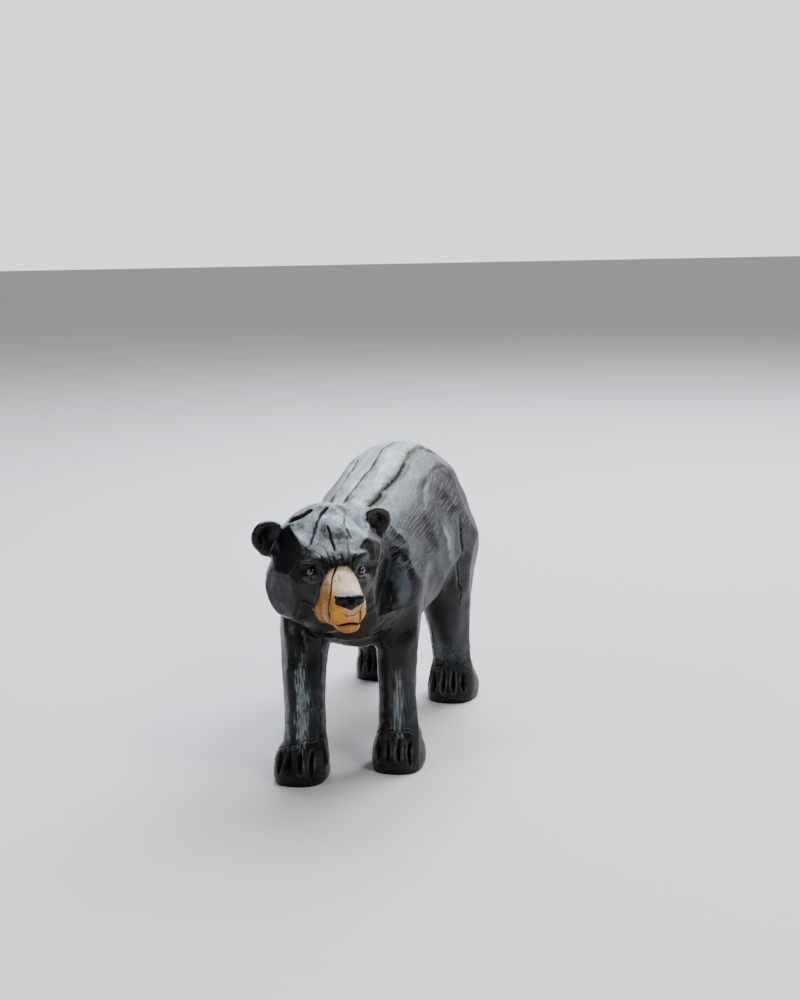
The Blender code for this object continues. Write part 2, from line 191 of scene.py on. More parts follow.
# The finer cracks of the back, seen from above: points x and y, half width, depth.
BACK_CRACKS = (
    (((-8, -44), (-6.8, -28), (-5.2, -5), (-2.8, 8), (-3.1, 38), (-2, 64)), 0.75, 2.4),
    (((-19.5, -32), (-18.4, -16), (-15.6, -2), (-15.2, 14), (-16, 32)), 0.6, 1.6),
    (((6, -41), (3, -45), (-2, -47), (-8, -47)), 0.6, 1.6),
)

# Cracks in the flank, seen from the bear's left: points y and z, half width, depth.
FLANK_CRACKS = (
    (((31, 110), (29, 98), (28, 89), (31, 78), (34, 68), (37, 58)), 0.6, 1.5),
    (((-33, 96), (-31, 88), (-32, 80), (-30, 74)), 0.4, 0.9),
    (((70, 112), (66, 100), (68, 90)), 0.4, 0.8),
)

# How far a crack strays to either side of its points.
CRACK_STRAY = 0.35

# The arc that sets the haunch off from the flank, seen from the bear's left, and the hollow below.
HAUNCH_ARC = ((49, 132), (34, 134), (19, 132.5), (3, 128.5), (-8, 124), (-14, 120))
HAUNCH_HOLLOW = (34, 14, 121)
HAUNCH_HOLLOW_RADII = (13, 14, 10)
HAUNCH_HOLLOW_DEPTH = 2.4

# Flat knife cuts: their spacing and depth on the body, on the legs, and two finer ones all over.
BODY_CUTS = (21.0, 1.5)
LEG_CUTS = (13.0, 0.8)
MIDDLING_CUTS = (13.0, 0.55)
SMALL_CUTS = (6.0, 0.16)

# The fur's strokes run along the trunk, taken as a cylinder, and slope by this share of its length.
BODY_AXIS_HEIGHT = 98.0
BODY_RADIUS = 36.0
FUR_SLOPE = -0.14


def head_frame():
    """Head axes as columns: left, back, up, at the head's centre."""
    yaw = Matrix.Rotation(HEAD_YAW, 4, "Z")
    pitch = Matrix.Rotation(HEAD_PITCH, 4, "X")
    return Matrix.Translation(HEAD_CENTRE) @ yaw @ pitch


def catmull(rows, steps=12):
    """Rows of numbers, smoothly interpolated with the given steps between neighbours."""
    rows = np.array(rows, float)
    padded = np.vstack([2 * rows[0] - rows[1], rows, 2 * rows[-1] - rows[-2]])
    out = []
    for i in range(1, len(padded) - 2):
        a, b, c, d = padded[i - 1 : i + 3]
        square = 2 * a - 5 * b + 4 * c - d
        cube = 3 * b - a - 3 * c + d
        for t in np.arange(steps) / steps:
            out.append(0.5 * (2 * b + (c - a) * t + square * t**2 + cube * t**3))
    out.append(rows[-1])
    return np.array(out)


def rise(values, low, high):
    """0 below low and 1 above high, or the other way round, and straight in between."""
    return np.clip((values - low) / (high - low), 0, 1)


def ball(bm, centre, radii, turn=None, frame=None):
    """An ellipsoid, turned by Euler degrees, in a frame."""
    place = Matrix.Translation(Vector(centre))
    if turn:
        for angle, axis in zip(turn, "XYZ"):
            place = place @ Matrix.Rotation(math.radians(angle), 4, axis)
    place = (frame or Matrix()) @ place @ Matrix.Diagonal((*radii, 1.0))
    bmesh.ops.create_icosphere(bm, subdivisions=4, radius=1.0, matrix=place)


def limb(bm, stations, frame=None, sides=28, power=2.2, steps=4, flare=0.0, cap=0.7):
    """A closed tube through stations (x, y, z, half width, half depth), its width lying across X.

    power squares the section, flare widens it by that share towards its front, and cap rounds both
    ends.
    """
    frame = frame or Matrix()
    rows = catmull(stations, steps)
    tangents = np.gradient(rows[:, :3], axis=0)
    tangents /= np.linalg.norm(tangents, axis=1)[:, None]
    sections = [(row[:3], tangent, row[3], row[4]) for row, tangent in zip(rows, tangents)]
    for end, sign in ((0, -1), (-1, 1)):
        point, tangent, width, depth = sections[end]
        extra = []
        for angle in (math.radians(30), math.radians(58), math.radians(80)):
            reach = cap * min(width, depth) * math.sin(angle)
            scale = math.cos(angle)
            extra.append((point + sign * tangent * reach, tangent, width * scale, depth * scale))
        sections = extra[::-1] + sections if end == 0 else sections + extra
    rings = []
    for point, tangent, width, depth in sections:
        along = Vector(tangent)
        side = Vector((1, 0, 0))
        side = (side - along * side.dot(along)).normalized()
        front = along.cross(side)
        ring = []
        for k in range(sides):
            angle = 2 * math.pi * k / sides
            c, s = math.cos(angle), math.sin(angle)
            y = depth * math.copysign(abs(s) ** (2 / power), s)
            x = width * math.copysign(abs(c) ** (2 / power), c) * (1 + flare * s)
            ring.append(bm.verts.new(frame @ (Vector(point) + side * x + front * y)))
        rings.append(ring)
    for low, high in zip(rings, rings[1:]):
        for k in range(sides):
            n = (k + 1) % sides
            bm.faces.new((low[k], low[n], high[n], high[k]))
    bm.faces.new(rings[0][::-1])
    bm.faces.new(rings[-1])


def rough_masses(bm):
    """Trunk, neck, legs, tail and the head's large masses."""
    head = head_frame()
    limb(bm, TORSO, power=2.15, flare=0.13)
    limb(bm, NECK, flare=0.1)
    for leg in LEGS:
        limb(bm, leg)
    ball(bm, (-18, -48, 90), (16, 26, 29))
    ball(bm, (18, -42, 90), (16, 26, 29))
    ball(bm, (22.5, 50, 89), (22, 34, 35), (8, 0, 0))
    ball(bm, (-22.5, 58, 89), (22, 34, 35), (-4, 0, 0))
    ball(bm, (0, 110, 99), (6.5, 8, 12), (-20, 0, 0))
    ball(bm, (0.8, 0, 4), (26.5, 26, 27.5), frame=head)
    for side in (-1, 1):
        ball(bm, (side * 13.5, 2, -6.5), (15, 20, 18), frame=head)
    ball(bm, (0, 2, -14), (19, 21, 17), frame=head)
    ball(bm, (17, 9, -2), (12, 14, 20), frame=head)


def head_masses(bm):
    """Brows, lids, muzzle, nose, lip and ears, in the head's frame, where forward is -Y."""
    head = head_frame()
    for side, ear in zip((-1, 1), EARS):
        ball(bm, (side * 10, -19.9, 11), (6.6, 3.0, 2.5), (15, side * 14, side * 24), frame=head)
        ball(bm, (side * 12.5, -18.8, 0), (4.8, 3.1, 2.0), (0, side * -12, side * 30), frame=head)
        ball(bm, ear, (8.6, 4.0, 9.8), (12, side * 14, side * 5), frame=head)
    limb(
        bm,
        (
            (0, -8, 0, 9.6, 13),
            (0, -20, -2.8, 9.4, 11.6),
            (0, -29, -6.2, 9.5, 10),
            (0.6, -36, -8.8, 9.4, 8.6),
        ),
        frame=head,
        power=2.9,
        flare=-0.24,
        cap=0.36,
    )
    limb(bm, ((0, -8, -15, 12, 6), (1.5, -24, -16.4, 7.6, 5), (2, -34, -17, 5.4, 3.5)), frame=head)
    nose = ((NOSE_MIDDLE, -35.5, -2.8, 6.4, 1.9), (NOSE_MIDDLE, -39.4, -3.2, 6.8, 2.2))
    limb(bm, nose, frame=head, power=3.2, cap=0.3)
    ball(bm, (NOSE_MIDDLE, -39.2, -5.6), (3.0, 2.0, 2.6), frame=head)


def paw_masses(bm):
    """Rounded paws with a low instep that runs up into the leg."""
    for x, y, width, length in PAWS:
        limb(
            bm,
            (
                (x, y, -4, width, length),
                (x, y, 5, width, length),
                (x, y + 0.5, 11, width * 0.95, length * 0.9),
                (x, y + 2, PAW_HEIGHT, width * 0.76, length * 0.66),
            ),
            power=2.5,
            cap=0.3,
        )
        ball(bm, (x, y - 1, 13), (width * 0.8, length * 0.75, 8))


def evaluated(bm, *settings):
    """The mesh of bm after modifiers, each given as (type, {settings})."""
    mesh = bpy.data.meshes.new("working")
    bm.to_mesh(mesh)
    bm.free()
    obj = bpy.data.objects.new("working", mesh)
    bpy.context.scene.collection.objects.link(obj)
    for kind, values in settings:
        modifier = obj.modifiers.new(kind.lower(), kind)
        for name, value in values.items():
            setattr(modifier, name, value)
    graph = bpy.context.evaluated_depsgraph_get()
    made = bpy.data.meshes.new_from_object(obj.evaluated_get(graph))
    bpy.data.objects.remove(obj)
    return made


def again(mesh):
    """A mesh taken back for more work."""
    bm = bmesh.new()
    bm.from_mesh(mesh)
    return bm


def remesh(voxel):
    return ("REMESH", {"mode": "VOXEL", "voxel_size": voxel})


def smooth(iterations, factor=0.5):
    return ("SMOOTH", {"factor": factor, "iterations": iterations})


def column(mesh, name, size=3):
    """A property of every point of a mesh, as an array of rows."""
    values = np.empty(len(mesh.vertices) * size, np.float32)
    mesh.vertices.foreach_get(name, values)
    return values.reshape(-1, size).astype(float)


class Surface:
    """A mesh's points and normals as arrays, cut along the normals."""

    def __init__(self, mesh):
        self.mesh = mesh
        self.points = column(mesh, "co")
        self.normals = column(mesh, "normal")
        self.cut = np.zeros(len(self.points))
        # How much painted shade darkens each point inside a crack or groove.
        self.crack = np.zeros(len(self.points))
        self.bare = np.zeros(len(self.points))
        self.tree = None

    def finish(self):
        """Write the cut points back to the mesh."""
        moved = self.points - self.normals * self.cut[:, None]
        self.mesh.vertices.foreach_set("co", moved.astype(np.float32).ravel())
        self.mesh.update()
        return self.mesh

    def local(self, frame):
        """Points in a frame."""
        inverse = np.array(frame.inverted())
        return self.points @ inverse[:3, :3].T + inverse[:3, 3]

    def landed(self, frame, points, toward, back=40.0):
        """Points of a frame, drawn back and thrown onto the surface along a direction of it."""
        if self.tree is None:
            faces = [tuple(face.vertices) for face in self.mesh.polygons]
            self.tree = BVHTree.FromPolygons(self.points.tolist(), faces)
        way = (frame.to_3x3() @ Vector(toward)).normalized()
        out = []
        for point in points:
            start = frame @ Vector(point) - way * back
            hit = self.tree.ray_cast(start, way)[0]
            if hit:
                out.append(tuple(hit))
        return np.array(out)

    def along(self, path, reach):
        """Points within reach of a path: index, distance, place on it from 0 to 1, and side.

        The side is +1 on the right of the path and -1 on its left.
        """
        inside = (self.points > path.min(0) - reach) & (self.points < path.max(0) + reach)
        index = np.nonzero(np.all(inside, axis=1))[0]
        points, normals = self.points[index], self.normals[index]
        gap = np.full(len(index), np.inf)
        place = np.zeros(len(index))
        side = np.ones(len(index))
        for k, (a, b) in enumerate(zip(path, path[1:])):
            run = b - a
            t = np.clip((points - a) @ run / max(run @ run, 1e-9), 0, 1)
            offset = points - a - t[:, None] * run
            distance = np.linalg.norm(offset, axis=1)
            closer = distance < gap
            gap[closer] = distance[closer]
            place[closer] = (k + t[closer]) / (len(path) - 1)
            right = np.sign(np.sum(offset * np.cross(run, normals), axis=1))
            side[closer] = right[closer]
        keep = gap < reach
        return index[keep], gap[keep], place[keep], side[keep]

    def groove(
        self, path, half_width, depth, ends=0.12, level=0.0, lip=0.0, lip_side=0, dark=1.0, bare=0.0
    ):
        """A cut along a path, narrowing and running out at both ends.

        level is the share of its width that is a flat floor. lip raises its edges: both of them, or
        only the one on lip_side, +1 for the right of the path. dark says how much painted shade
        blackens it inside, and bare how unpainted it is inside.
        """
        if len(path) < 2:
            return
        index, gap, place, side = self.along(path, half_width * 3.2)
        fade = np.clip(np.minimum(place, 1 - place) / ends, 0, 1) ** 0.5
        width = half_width * (0.45 + 0.55 * fade)
        wall = np.clip((1 - gap / width) / (1 - level), 0, 1) * fade
        self.crack[index] = np.maximum(self.crack[index], wall * dark)
        self.bare[index] = np.maximum(self.bare[index], np.clip(wall * 3, 0, 1) * bare)
        raised = np.exp(-(((gap - 1.5 * width) / (0.55 * width)) ** 2)) * lip * fade
        if lip_side:
            raised = raised * (side * lip_side > 0)
        value = wall * depth
        before = self.cut[index]
        self.cut[index] = np.where(value > 0, np.maximum(before, value), before - raised)

    def dent(self, frame, centre, radii, depth, facing=None):
        """A rounded hollow, or with a negative depth a swelling, inside an ellipsoid of a frame."""
        local = (self.local(frame) - np.array(centre)) / np.array(radii)
        distance = np.sum(local**2, axis=1)
        value = depth * np.clip(1 - distance, 0, 1) ** 1.5
        if facing is not None:
            way = np.array(frame.to_3x3() @ Vector(facing).normalized())
            value = value * np.clip(self.normals @ way, 0, 1)
        self.cut += value

    def slice(self, frame, point, facing, radii, limit):
        """A plane cut, inside an ellipsoid about a point of a frame, no deeper than the limit."""
        local = self.local(frame) - np.array(point)
        inside = np.clip(4 * (1 - np.sum((local / np.array(radii)) ** 2, axis=1)), 0, 1)
        height = local @ np.array(Vector(facing).normalized())
        self.cut = np.maximum(self.cut, inside * np.clip(height, 0, limit))

    def flats(self, spacing, depth, share, every=1):
        """Flat knife cuts, a tangent plane at each of many evenly spread points, eased by a share.

        every=6 looks for the places of the cuts among every sixth point only, to save time.
        """
        candidates = np.nonzero(share > 0)[0]
        candidates = candidates[np.argsort(self.points[candidates, 1], kind="stable")]
        points, normals = self.points[candidates], self.normals[candidates]
        picked = points[::every]
        seeds = [int(np.argmax(picked[:, 2]))]
        gap = np.linalg.norm(picked - picked[seeds[0]], axis=1)
        while gap.max() > spacing:
            seeds.append(int(np.argmax(gap)))
            gap = np.minimum(gap, np.linalg.norm(picked - picked[seeds[-1]], axis=1))
        cut = np.zeros(len(points))
        reach = 1.4 * spacing
        for seed in seeds:
            centre, facing = points[seed * every], normals[seed * every]
            first, last = np.searchsorted(points[:, 1], (centre[1] - reach, centre[1] + reach))
            offset = points[first:last] - centre
            distance = np.linalg.norm(offset, axis=1)
            near = (distance < reach) & (normals[first:last] @ facing > 0.3)
            ease = 1 - (distance[near] / reach) ** 2
            height = offset[near] @ facing + depth * ease
            index = first + np.nonzero(near)[0]
            cut[index] = np.maximum(cut[index], np.clip(height, 0, 2 * depth * ease))
        self.cut[candidates] += cut * share[candidates]


def wandering(points, amount, steps=14):
    """A smooth path through points that strays from side to side as a crack does."""
    out = []
    for point in catmull(points, steps):
        out.append(Vector(point) + noise.noise_vector(Vector(point) * 0.35) * amount)
    return out


def carve_skull(surface):
    """The flat planes of the skull, cut no deeper than a few millimetres."""
    frame = head_frame()
    head = surface.local(frame)
    on_head = rise(np.linalg.norm(head, axis=1), 38, 32) * rise(head[:, 1], 12, 4)
    for point, facing in SKULL_PLANES:
        normal = np.array(Vector(facing).normalized())
        way = np.array(frame.to_3x3() @ Vector(facing).normalized())
        height = (head - np.array(point)) @ normal
        turned = np.clip((surface.normals @ way - 0.3) / 0.4, 0, 1)
        surface.cut = np.maximum(surface.cut, on_head * turned * np.clip(height, 0, 5.5))


def carve_flats(surface):
    """Broad knife cuts on the body and smaller ones on the legs, clear of the head and paws."""
    head = surface.local(head_frame())
    off_head = rise(np.linalg.norm(head, axis=1), 40, 50)
    height = surface.points[:, 2]
    surface.flats(*BODY_CUTS, off_head * rise(height, 60, 74))
    surface.flats(*LEG_CUTS, off_head * rise(height, 22, 36) * rise(height, 74, 60))


def carve_legs(surface):
    """Long flat faces down each leg, all round it."""
    x, y, z = surface.points.T
    for stations, turn in zip(LEGS, LEG_FACE_TURNS):
        low_first = np.array(stations, float)[::-1]
        centre_x, centre_y = (np.interp(z, low_first[:, 2], low_first[:, k]) for k in (0, 1))
        half_x, half_y = (np.interp(z, low_first[:, 2], low_first[:, k]) for k in (3, 4))
        off_x, off_y = x - centre_x, y - centre_y
        near = np.hypot(off_x / half_x, off_y / half_y) < 1.35
        share = near * rise(z, 17, 23) * rise(z, 72, 60)
        for k in range(LEG_FACES):
            angle = math.radians(turn + 360 / LEG_FACES * k)
            c, s = math.cos(angle), math.sin(angle)
            reach = np.hypot(half_x * c, half_y * s)
            turned = np.clip(surface.normals @ np.array((c, s, 0)) - 0.3, 0, 0.4) / 0.4
            height = np.clip(off_x * c + off_y * s - 0.87 * reach, 0, 2.5)
            surface.cut = np.maximum(surface.cut, share * turned * height)


def carve_small_flats(surface):
    """The middling and small knife cuts all over the figure, lighter on the face and the paws."""
    head = surface.local(head_frame())
    face = rise(np.linalg.norm(head - np.array(FACE_CENTRE), axis=1), 20, 14)
    height = surface.points[:, 2]
    body = rise(height, 58, 74)
    surface.flats(*MIDDLING_CUTS, (1 - face) * (0.25 + 0.75 * body), every=6)
    surface.flats(*SMALL_CUTS, (1 - 0.8 * face) * rise(height, 1.5, 4.5), every=4)


def from_above(surface, path):
    """A crack's path on the back, from points x and y."""
    points = wandering([(x, y, 200) for x, y in path], CRACK_STRAY)
    return surface.landed(Matrix(), points, (0, 0, -1), back=0.0)


def from_left(surface, points):
    """A path on the left flank, from points that lie beside it."""
    return surface.landed(Matrix(), points, (-1, 0, 0), back=0.0)


def carve_back(surface):
    """The wide split beside the spine, the finer cracks, and the haunch with its arc and hollow."""
    split = from_above(surface, MAIN_SPLIT)
    surface.groove(
        split,
        SPLIT_HALF_WIDTH,
        SPLIT_DEPTH,
        level=0.6,
        lip=SPLIT_EDGE,
        lip_side=-1,
        dark=0.0,
        bare=1.0,
    )
    # The undercut is darkened with painted shadow, as under the split's raised edge.
    undercut = split + np.array((-0.7 * SPLIT_HALF_WIDTH, 0, 0))
    undercut_depth = SPLIT_DEPTH + UNDERCUT_DEPTH
    surface.groove(undercut, UNDERCUT_HALF_WIDTH, undercut_depth, ends=0.02, level=0.3, dark=1.4)
    for path, half_width, depth in BACK_CRACKS:
        surface.groove(from_above(surface, path), half_width, depth, dark=2.0)
    for path, half_width, depth in FLANK_CRACKS:
        points = wandering([(80, y, z) for y, z in path], CRACK_STRAY)
        surface.groove(from_left(surface, points), half_width, depth, lip=0.05, dark=2.0)
    arc = catmull([(80, y, z) for y, z in HAUNCH_ARC])
    surface.groove(from_left(surface, arc), 1.0, 0.7, lip=0.35, dark=0.1)
    surface.dent(Matrix(), HAUNCH_HOLLOW, HAUNCH_HOLLOW_RADII, HAUNCH_HOLLOW_DEPTH)


def carve_paws(surface):
    """Deep almond slots between the claws, and the notch that sets the claws off from the foot."""
    surface.cut += 1.0 * np.clip(1 - surface.points[:, 2] / 4.5, 0, 1) ** 2
    for x, y, width, length in PAWS:
        frame = Matrix.Translation((x, y - length, 0))
        for share in CLAW_SLOTS:
            bow = 4.0 * share**2
            stray = noise.noise_vector(Vector((x, y, share * 9)) * 0.7)
            slot = [
                (share * width * 0.80 + stray.x, 7.0 + bow, 14.5 + 2 * stray.y),
                (share * width * 0.96, 2 + bow, 11),
                (share * width * 1.04, bow, 6 + 2.5 * stray.z),
            ]
            landed = surface.landed(frame, catmull(slot), (share * -0.5, 0.7, -0.7), back=20.0)
            half_width = 1.7 + 0.6 * stray.z
            surface.groove(landed, half_width, 3.4, ends=0.6, level=0.1, lip=0.07, dark=0.9)
        notch = [(t * width * 0.86, 6.8 + 5.0 * t * t, 16) for t in np.linspace(-1, 1, 9)]
        landed = surface.landed(frame, catmull(notch, 4), (0, 0.5, -0.8), back=20.0)
        surface.groove(landed, 0.7, 0.7, lip=0.12, dark=0.3)


def carve_head(surface):
    """Ears, eye rings and lids, frown, gouges in the crown, nose, nostrils and mouth."""
    head = head_frame()
    ahead = (0, 1, 0)
    down = (0, 0.5, -0.86)
    for x, y, z in EARS:
        surface.dent(head, (x * 1.02, y - 4, z + 0.5), (7.2, 9, 8.0), 4.0, facing=(0, -1, 0.1))
    surface.slice(head, (0, 0, 29.6), (0, -0.1, 1), (30, 30, 12), 2.0)
    for x, z in EYES:
        surface.dent(head, (x, -20, z), (6.5, 9, 4.6), 1.4)
        surface.dent(head, (x, -19, z), (3.6, 8, 3.3), 0.9)
        ring = []
        for angle in np.linspace(0, 2 * math.pi, 25):
            ring.append((x + 3.7 * math.cos(angle), -20, z + 3.3 * math.sin(angle)))
        surface.groove(surface.landed(head, ring, ahead), 0.7, 0.7, ends=0.001, lip=0.2, dark=0.0)
    wrinkles = (
        (((-8.5, -18, 13.5), (-6.6, -24, 10), (-5.6, -26, 5)), 0.8, 1.2),
        (((-5.4, -18, 15.5), (-4.4, -24, 12), (-3.6, -26, 8.6)), 0.45, 0.6),
        (((-2.6, -18, 12.5), (-1.6, -24, 10.5), (-1.4, -26, 8.2)), 0.9, 1.0),
        (((2.2, -18, 13.5), (1.4, -24, 11), (1.2, -26, 8.4)), 0.7, 1.2),
        (((6.4, -18, 17.5), (4.6, -24, 13), (3.6, -26, 8.6)), 0.45, 0.7),
        (((8.6, -18, 13), (6.6, -24, 10.5), (5.6, -25, 7)), 0.8, 0.9),
    )
    for path, half_width, depth in wrinkles:
        landed = surface.landed(head, wandering(path, 0.5), ahead)
        surface.groove(landed, half_width, depth, ends=0.4, lip=0.06, dark=0.5)
    gouges = (
        (((-18, -4, 30), (-11.6, -4, 34), (-5.5, -1, 36)), 1.3, 1.4, 0.9),
        (((2.8, 2, 34), (-3.2, -5, 32), (-7.9, -13, 26), (-12, -20, 20)), 0.7, 1.2, 0.8),
        (((-1.4, -11, 28), (-0.8, -18, 22), (-0.7, -23, 18)), 0.6, 1.3, 1.0),
        (((9, -4, 34), (7, -12, 28), (8.5, -18, 22)), 0.45, 0.7, 0.5),
    )
    for path, half_width, depth, dark in gouges:
        landed = surface.landed(head, wandering(path, CRACK_STRAY), down)
        surface.groove(landed, half_width, depth, lip=0.06, dark=dark)
    for side in (-1, 1):
        nostril = [
            (NOSE_MIDDLE + side * off, AHEAD_OF_NOSE, z)
            for off, z in ((2, -4), (4.6, -5.4), (6.2, -3.6))
        ]
        surface.groove(surface.landed(head, catmull(nostril), ahead), 0.8, 1.0, dark=0.0)
    mouth = ((-7.5, -17.6), (-4, -16.6), (0, -15.4), (3, -15.4), (8, -17))
    lip = ((6.2, -9.0), (6.8, -16))
    curl = ((-2.6, -8), (-0.4, -10.8), (3.0, -11), (6.0, -8.6), (7.6, -6))
    lines = ((mouth, 0.4, 0.9, 1.6, 1.0), (lip, 0.4, 0.5, 1.1, 1.0), (curl, 0.3, 0.5, 0.5, 0.5))
    for path, stray, half_width, depth, dark in lines:
        points = wandering([(x, AHEAD_OF_NOSE, z) for x, z in path], stray)
        surface.groove(surface.landed(head, points, ahead), half_width, depth, dark=dark)
    split = ((0.5, -25, 12), (-4.5, -30, 6), (-7.4, -37, 0), (-8.4, -37, -7), (-7.6, -37, -13))
    surface.groove(surface.landed(head, wandering(split, 0.3), (0.2, 0.8, -0.4)), 0.6, 1.3)


def roughen(surface):
    """Slight unevenness left by the knife."""
    wave = []
    for point in surface.points:
        wave.append(noise.noise(Vector(point) * 0.16) + 0.5 * noise.noise(Vector(point) * 0.45))
    surface.cut += 0.16 * np.array(wave)


def figure():
    """The whole carved figure at the fine grain, with how much painted shade darkens each point in a
    crack, and how bare each point is.
    """
    bm = bmesh.new()
    rough_masses(bm)
    surface = Surface(evaluated(bm, remesh(ROUGH_VOXEL), smooth(14)))
    carve_skull(surface)
    bm = again(surface.finish())
    head_masses(bm)
    paw_masses(bm)
    surface = Surface(evaluated(bm, remesh(FORM_VOXEL), smooth(6)))
    carve_flats(surface)
    carve_legs(surface)
    surface = Surface(evaluated(again(surface.finish()), smooth(2), remesh(FINE_VOXEL), smooth(2)))
    carve_small_flats(surface)
    surface = Surface(evaluated(again(surface.finish()), smooth(2, 0.4)))
    carve_back(surface)
    carve_paws(surface)
    carve_head(surface)
    roughen(surface)
    mesh = surface.finish()
    mesh = evaluated(again(mesh), smooth(1, 0.3))
    return mesh, surface.crack, surface.bare


def relief(mesh, iterations):
    """How far each point stands out of its surroundings, smoothed by that many steps."""
    soft = evaluated(again(mesh), smooth(iterations))
    return np.sum((column(mesh, "co") - column(soft, "co")) * column(mesh, "normal"), axis=1)


def thinned(mesh, plain):
    """The mesh with about TRIANGLE_BUDGET triangles, fewest where it is plain, cut at the floor."""
    bm = again(mesh)
    bmesh.ops.triangulate(bm, faces=bm.faces[:])
    layer = bm.verts.layers.deform.verify()
    for vert, weight in zip(bm.verts, plain):
        vert[layer][0] = float(weight)
    ratio = TRIANGLE_BUDGET / len(bm.faces)
    working = bpy.data.meshes.new("working")
    bm.to_mesh(working)
    bm.free()
    obj = bpy.data.objects.new("working", working)
    bpy.context.scene.collection.objects.link(obj)
    obj.vertex_groups.new(name="plain")
    modifier = obj.modifiers.new("thin", "DECIMATE")
    modifier.ratio = ratio
    modifier.vertex_group = "plain"
    modifier.vertex_group_factor = 4.0
    graph = bpy.context.evaluated_depsgraph_get()
    mesh = bpy.data.meshes.new_from_object(obj.evaluated_get(graph))
    bpy.data.objects.remove(obj)
    bm = again(mesh)
    whole = bm.verts[:] + bm.edges[:] + bm.faces[:]
    bmesh.ops.bisect_plane(bm, geom=whole, plane_co=(0, 0, 0), plane_no=(0, 0, -1), clear_outer=True)
    rims = [edge for edge in bm.edges if edge.is_boundary]
    bmesh.ops.holes_fill(bm, edges=rims, sides=0)
    bmesh.ops.triangulate(bm, faces=bm.faces[:])
    bm.to_mesh(mesh)
    bm.free()
    return mesh


def attribute(mesh, name, values):
    """A number or vector at every point of the mesh, for the material to read."""
    kind = "FLOAT" if values.ndim == 1 else "FLOAT_VECTOR"
    made = mesh.attributes.new(name, kind, "POINT")
    made.data.foreach_set("value" if kind == "FLOAT" else "vector", values.astype(np.float32).ravel())


def painted_figure():
    """The figure as one mesh in the solid's box, with the values that its paint follows."""
    fine, crack, bare = figure()
    points = column(fine, "co")
    edge = relief(fine, 10)
    head = np.linalg.norm(points - np.array(HEAD_CENTRE), axis=1)
    plain = np.where((head < 45) | (points[:, 2] < 24), 0.45, 1.0)
    mesh = thinned(fine, plain)
    tree = kdtree.KDTree(len(points))
    for k, point in enumerate(points):
        tree.insert(point, k)
    tree.balance()
    nearest = [tree.find(vert.co)[1] for vert in mesh.vertices]
    # The painted shade inside cracks and grooves, for the paint to darken them.
    attribute(mesh, "crack", crack[nearest])
    attribute(mesh, "bare", bare[nearest])
    attribute(mesh, "edge", edge[nearest])
    placed = column(mesh, "co")
    inverse = np.array(head_frame().inverted())
    attribute(mesh, "face", placed @ inverse[:3, :3].T + inverse[:3, 3])
    round_body = np.arctan2(placed[:, 0], placed[:, 2] - BODY_AXIS_HEIGHT) * BODY_RADIUS
    across_fur = round_body - FUR_SLOPE * placed[:, 1]
    attribute(mesh, "fur", np.column_stack([across_fur, placed[:, 1], placed[:, 0]]))
    attribute(mesh, "layout", placed)
    attribute(mesh, "up", column(mesh, "normal")[:, 2])
    low, high = (np.array(corner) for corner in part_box("bear"))
    size = placed.max(0) - placed.min(0)
    fitted = (placed - placed.min(0)) / size * (high - low) + low
    mesh.vertices.foreach_set("co", fitted.astype(np.float32).ravel())
    mesh.update()
    mesh.shade_smooth()
    return mesh


